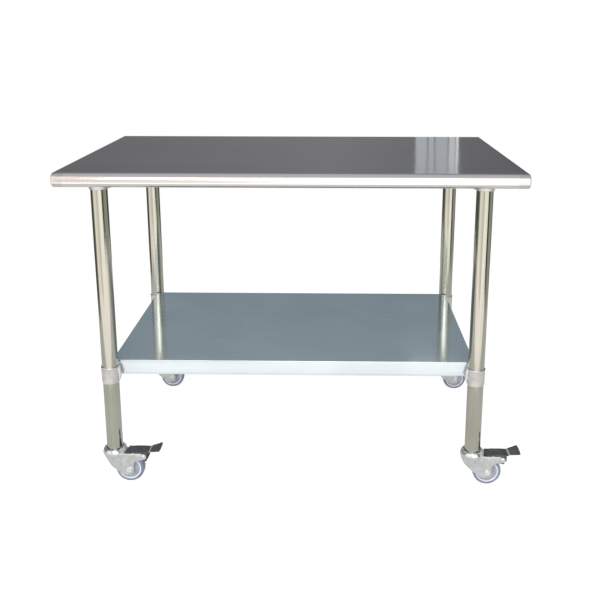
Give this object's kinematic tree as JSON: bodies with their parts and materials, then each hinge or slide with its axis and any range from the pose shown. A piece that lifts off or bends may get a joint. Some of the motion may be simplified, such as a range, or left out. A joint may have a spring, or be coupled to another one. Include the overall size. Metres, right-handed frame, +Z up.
{
  "type": "work table",
  "caption": "Stainless work table with rolled edges, round tube legs, a height-adjustable undershelf and swivel casters, the front ones with brakes.",
  "frame": {"origin": "on the floor, under the middle of the bounding box; the table's own middle is 15.0 mm to the left (-X) of it, because the parked casters' pedals reach past the right end", "axes": "+X along the table's length to the right as seen from the front, +Y from the front edge to the rear, +Z up"},
  "size_m": [1.2492, 0.762, 0.902],
  "materials": {
    "top_stainless": "brushed stainless sheet, grain along the length",
    "leg_stainless": "satin stainless tube, warm tint",
    "shelf_sheet": "satin galvanised or stainless sheet, cool tint",
    "channel_galvanised": "dull galvanised sheet",
    "cast_aluminium": "die cast, tumbled",
    "zinc_plate": "bright zinc plate on pressed steel",
    "bolt_steel": "bright plated steel",
    "pedal_enamel": "dark slate finish",
    "tread_polyurethane": "translucent lavender grey polyurethane",
    "hub_plastic": "pale lavender moulded plastic",
    "brake_rubber": "black rubber",
    "insert_rubber": "black rubber plug"
  },
  "bodies": {
    "frame": {"top_panel": "top_stainless", "top_channel_long": "channel_galvanised", "top_channel_left": "channel_galvanised", "top_channel_right": "channel_galvanised", "leg_socket_front_left": "cast_aluminium", "socket_screw_front_left": "bolt_steel", "leg_front_left": "leg_stainless", "caster_insert_front_left": "insert_rubber", "caster_stem_front_left": "zinc_plate", "leg_socket_front_right": "cast_aluminium", "socket_screw_front_right": "bolt_steel", "leg_front_right": "leg_stainless", "caster_insert_front_right": "insert_rubber", "caster_stem_front_right": "zinc_plate", "leg_socket_rear_left": "cast_aluminium", "socket_screw_rear_left": "bolt_steel", "leg_rear_left": "leg_stainless", "caster_insert_rear_left": "insert_rubber", "caster_stem_rear_left": "zinc_plate", "leg_socket_rear_right": "cast_aluminium", "socket_screw_rear_right": "bolt_steel", "leg_rear_right": "leg_stainless", "caster_insert_rear_right": "insert_rubber", "caster_stem_rear_right": "zinc_plate"},
    "undershelf": {"shelf_panel": "shelf_sheet", "shelf_channel": "channel_galvanised", "shelf_collar_front_left": "cast_aluminium", "shelf_collar_front_right": "cast_aluminium", "shelf_collar_rear_left": "cast_aluminium", "shelf_collar_rear_right": "cast_aluminium", "shelf_screw_front_left": "bolt_steel", "shelf_screw_front_right": "bolt_steel", "shelf_screw_rear_left": "bolt_steel", "shelf_screw_rear_right": "bolt_steel"},
    "swivel_front_left": {"caster_fork_front_left": "zinc_plate", "axle_bolt_front_left": "bolt_steel", "axle_nut_front_left": "bolt_steel", "brake_pin_front_left": "bolt_steel"},
    "wheel_front_left": {"tyre_front_left": "tread_polyurethane", "wheel_hub_front_left": "hub_plastic"},
    "pedal_front_left": {"brake_pedal_front_left": "pedal_enamel", "brake_shoe_front_left": "brake_rubber"},
    "swivel_front_right": {"caster_fork_front_right": "zinc_plate", "axle_bolt_front_right": "bolt_steel", "axle_nut_front_right": "bolt_steel", "brake_pin_front_right": "bolt_steel"},
    "wheel_front_right": {"tyre_front_right": "tread_polyurethane", "wheel_hub_front_right": "hub_plastic"},
    "pedal_front_right": {"brake_pedal_front_right": "pedal_enamel", "brake_shoe_front_right": "brake_rubber"},
    "swivel_rear_left": {"caster_fork_rear_left": "zinc_plate", "axle_bolt_rear_left": "bolt_steel", "axle_nut_rear_left": "bolt_steel"},
    "wheel_rear_left": {"tyre_rear_left": "tread_polyurethane", "wheel_hub_rear_left": "hub_plastic"},
    "swivel_rear_right": {"caster_fork_rear_right": "zinc_plate", "axle_bolt_rear_right": "bolt_steel", "axle_nut_rear_right": "bolt_steel"},
    "wheel_rear_right": {"tyre_rear_right": "tread_polyurethane", "wheel_hub_rear_right": "hub_plastic"}
  },
  "joints": [
    {"name": "shelf_height", "type": "slide", "parent": "frame", "child": "undershelf", "axis": [0, 0, 1], "range_m": [-0.17, 0.3]},
    {"name": "swivel_front_left", "type": "hinge", "parent": "frame", "child": "swivel_front_left", "pos_m": [-0.5226, -0.311, 0.1], "axis": [0, 0, 1], "continuous": true},
    {"name": "roll_front_left", "type": "hinge", "parent": "swivel_front_left", "child": "wheel_front_left", "pos_m": [-0.4806, -0.311, 0.03985], "axis": [0, 1, 0], "continuous": true},
    {"name": "brake_front_left", "type": "hinge", "parent": "swivel_front_left", "child": "pedal_front_left", "pos_m": [-0.4386, -0.311, 0.08], "axis": [0, 1, 0], "range_deg": [0, 8]},
    {"name": "swivel_front_right", "type": "hinge", "parent": "frame", "child": "swivel_front_right", "pos_m": [0.4926, -0.311, 0.1], "axis": [0, 0, 1], "continuous": true},
    {"name": "roll_front_right", "type": "hinge", "parent": "swivel_front_right", "child": "wheel_front_right", "pos_m": [0.5346, -0.311, 0.03985], "axis": [0, 1, 0], "continuous": true},
    {"name": "brake_front_right", "type": "hinge", "parent": "swivel_front_right", "child": "pedal_front_right", "pos_m": [0.5766, -0.311, 0.08], "axis": [0, 1, 0], "range_deg": [0, 8]},
    {"name": "swivel_rear_left", "type": "hinge", "parent": "frame", "child": "swivel_rear_left", "pos_m": [-0.5226, 0.311, 0.1], "axis": [0, 0, 1], "continuous": true},
    {"name": "roll_rear_left", "type": "hinge", "parent": "swivel_rear_left", "child": "wheel_rear_left", "pos_m": [-0.4806, 0.311, 0.03985], "axis": [0, 1, 0], "continuous": true},
    {"name": "swivel_rear_right", "type": "hinge", "parent": "frame", "child": "swivel_rear_right", "pos_m": [0.4926, 0.311, 0.1], "axis": [0, 0, 1], "continuous": true},
    {"name": "roll_rear_right", "type": "hinge", "parent": "swivel_rear_right", "child": "wheel_rear_right", "pos_m": [0.5346, 0.311, 0.03985], "axis": [0, 1, 0], "continuous": true}
  ]
}
